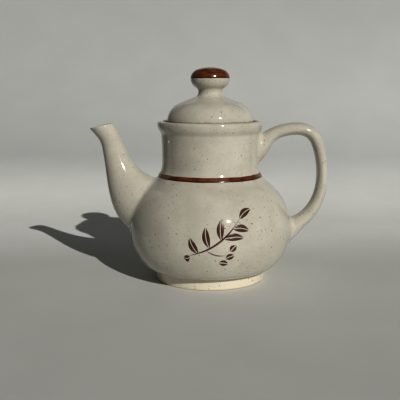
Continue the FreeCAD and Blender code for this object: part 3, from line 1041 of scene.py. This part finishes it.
def board_with_painted_light():
    """Painted board for the stage, with painted light and shade in its tones: palest behind the
    pot, lighter to the right, darker higher up, painted shade out to the left.
    """
    paint = Paint("board_with_painted_light")
    x, y, z = paint.axes
    floor = paint.mix(paint.span(y, *BACKWARD_FADE), FLOOR, FLOOR_FAR_PAINTED_LIGHT)
    board = paint.mix(paint.span(x, *SIDEWAYS_FADE), BOARD_LEFT_PAINTED_SHADE, BOARD_RIGHT_PAINTED_LIGHT)
    board = paint.mix(paint.span(z, *UPWARD_FADE), board, BOARD_TOP_PAINTED_SHADE)
    tone = paint.mix(paint.span(z, *CORNER_FADE), floor, board)
    tone = paint.mix(paint.varied(0, 0.06, 90.0, 4.0), tone, BOARD_PAINTED_SHADE)
    # Painted shade over floor and board out to the left, reaching further left further back
    slanted = paint.math("ADD", x, paint.math("MULTIPLY", y, SHADE_SLANT))
    return paint.finish(
        Base_Color=paint.mix(paint.span(slanted, *SHADE_FADE), BOARD_PAINTED_SHADE, tone),
        Roughness=BOARD_ROUGHNESS,
        Specular_IOR_Level=0.4,
        Normal=paint.bump(paint.noise(1.6, 3.0), 0.25, 0.05),
    )


# Stage, light and camera

def sweep():
    """Pale floor that curves up into a backdrop behind the pot."""
    turn = np.linspace(0, pi / 2, 24)
    depth = STAGE_FAR + STAGE_CURVE * np.sin(turn)
    height = STAGE_CURVE * (1 - np.cos(turn))
    line = [(-STAGE_NEAR, 0), *zip(depth, height), (depth[-1], STAGE_HEIGHT)]
    points = [(x, y, z) for y, z in line for x in (-STAGE_HALF_WIDE, STAGE_HALF_WIDE)]
    faces = [(2 * i, 2 * i + 1, 2 * i + 3, 2 * i + 2) for i in range(len(line) - 1)]
    mesh = bpy.data.meshes.new("sweep")
    mesh.from_pydata(points, [], faces)
    mesh.polygons.foreach_set("use_smooth", [True] * len(faces))
    mesh.materials.append(board_with_painted_light())
    board = bpy.data.objects.new("sweep", mesh)
    bpy.context.collection.objects.link(board)


def sunlight():
    """Low sun from the front right."""
    data = bpy.data.lights.new("sun", "SUN")
    data.angle, data.energy, data.color = SUN_WIDTH, SUN_POWER, SUN_COLOUR
    light = bpy.data.objects.new("sun", data)
    across, up = radians(SUN_AZIMUTH), radians(SUN_ELEVATION)
    source = Vector((sin(across) * cos(up), -cos(across) * cos(up), sin(up)))
    light.rotation_euler = source.to_track_quat("Z", "Y").to_euler()
    bpy.context.collection.objects.link(light)


def sky():
    """A dim room round the stage, lighter low down on the right."""
    world = bpy.data.worlds.new("room")
    room = Nodes(world)
    looking = room.node("SeparateXYZ", {0: room.node("TexCoord").outputs["Generated"]}).outputs
    tone = ROOM_LEFT
    for axis, low, high, last in ROOM_CHANGES:
        share = room.node("MapRange", {0: looking[axis], 1: low, 2: high}).outputs[0]
        tone = room.mix(share, tone, last)
    room.give(room.tree.nodes["Background"].inputs["Color"], tone)
    bpy.context.scene.world = world


def camera():
    """Where the photographer stood: level with the knob, looking slightly down."""
    data = bpy.data.cameras.new("camera")
    data.lens, data.sensor_width = LENS, SENSOR_WIDTH
    data.clip_start, data.clip_end = 0.01, 20.0
    eye = bpy.data.objects.new("camera", data)
    eye.location = EYE
    eye.rotation_euler = (radians(90 - TILT), 0, 0)
    bpy.context.collection.objects.link(eye)
    bpy.context.scene.camera = eye
    grade = bpy.context.scene.view_settings
    grade.view_transform, grade.gamma = "Standard", GRADE


def pot(cream):
    """The pieces on the body that stands still."""
    wall = wall_field()
    points, faces = revolved(pot_outline())
    shell = make_piece("pot_wall", points, faces, "pot", cream, ("belly", "neck"))
    bore_out(shell, SPOUT_HOLE_RADIUS, SPOUT_HOLE_START, SPOUT_HOLE_END)
    points, faces = revolved(foot_outline(), closed=True)
    make_piece("foot", points, faces, "pot", cream, ("foot_ring",))
    points, faces = branch(SPOUT_ROWS, SPOUT_SPACE, SPOUT_FILLET, wall, spout_bore_rows())
    make_piece("spout_tube", points, faces, "pot", cream, ("spout",))
    points, faces = branch(HANDLE_ROWS, HANDLE_SPACE, HANDLE_FILLET, wall)
    make_piece("handle_loop", points, faces, "pot", cream, ("handle",))
    points, faces = revolved(band_outline(), closed=True)
    brown = brown_glaze("band_glaze", BAND_LOW_Z)
    make_piece("band", points, faces, "pot", brown, ("neck_band",))
    points, faces = sprig()
    make_piece("sprig", points, faces, "pot", brown_print(), ("motif",))


def lid(cream):
    """The pieces on the body that lifts off."""
    points, faces = revolved(lid_outline())
    nodes = ("lid_dome", "lid_flange", "lid_knob")
    shell = make_piece("lid_shell", points, faces, "lid", cream, nodes)
    under = on_circle(DOME_CENTRE, DOME_ROUND - 2 * LID_WALL, VENT_ANGLE)
    over = on_circle(DOME_CENTRE, DOME_ROUND + 2 * LID_WALL, VENT_ANGLE)
    bore_out(shell, VENT_RADIUS, under, over)
    points, faces = revolved(cap_outline(), closed=True)
    brown = brown_glaze("cap_glaze", CAP_Z)
    make_piece("cap", points, faces, "lid", brown, ("knob_cap",))


pot(cream_glaze("pot_glaze", FOOT_BARE_Z, CLAY))
lid(cream_glaze("lid_glaze", RIM_Z + LID_BARE_AND_SHADE_RISE, CLAY_PAINTED_GAP_SHADE))
sweep()
sky()
camera()
sunlight()
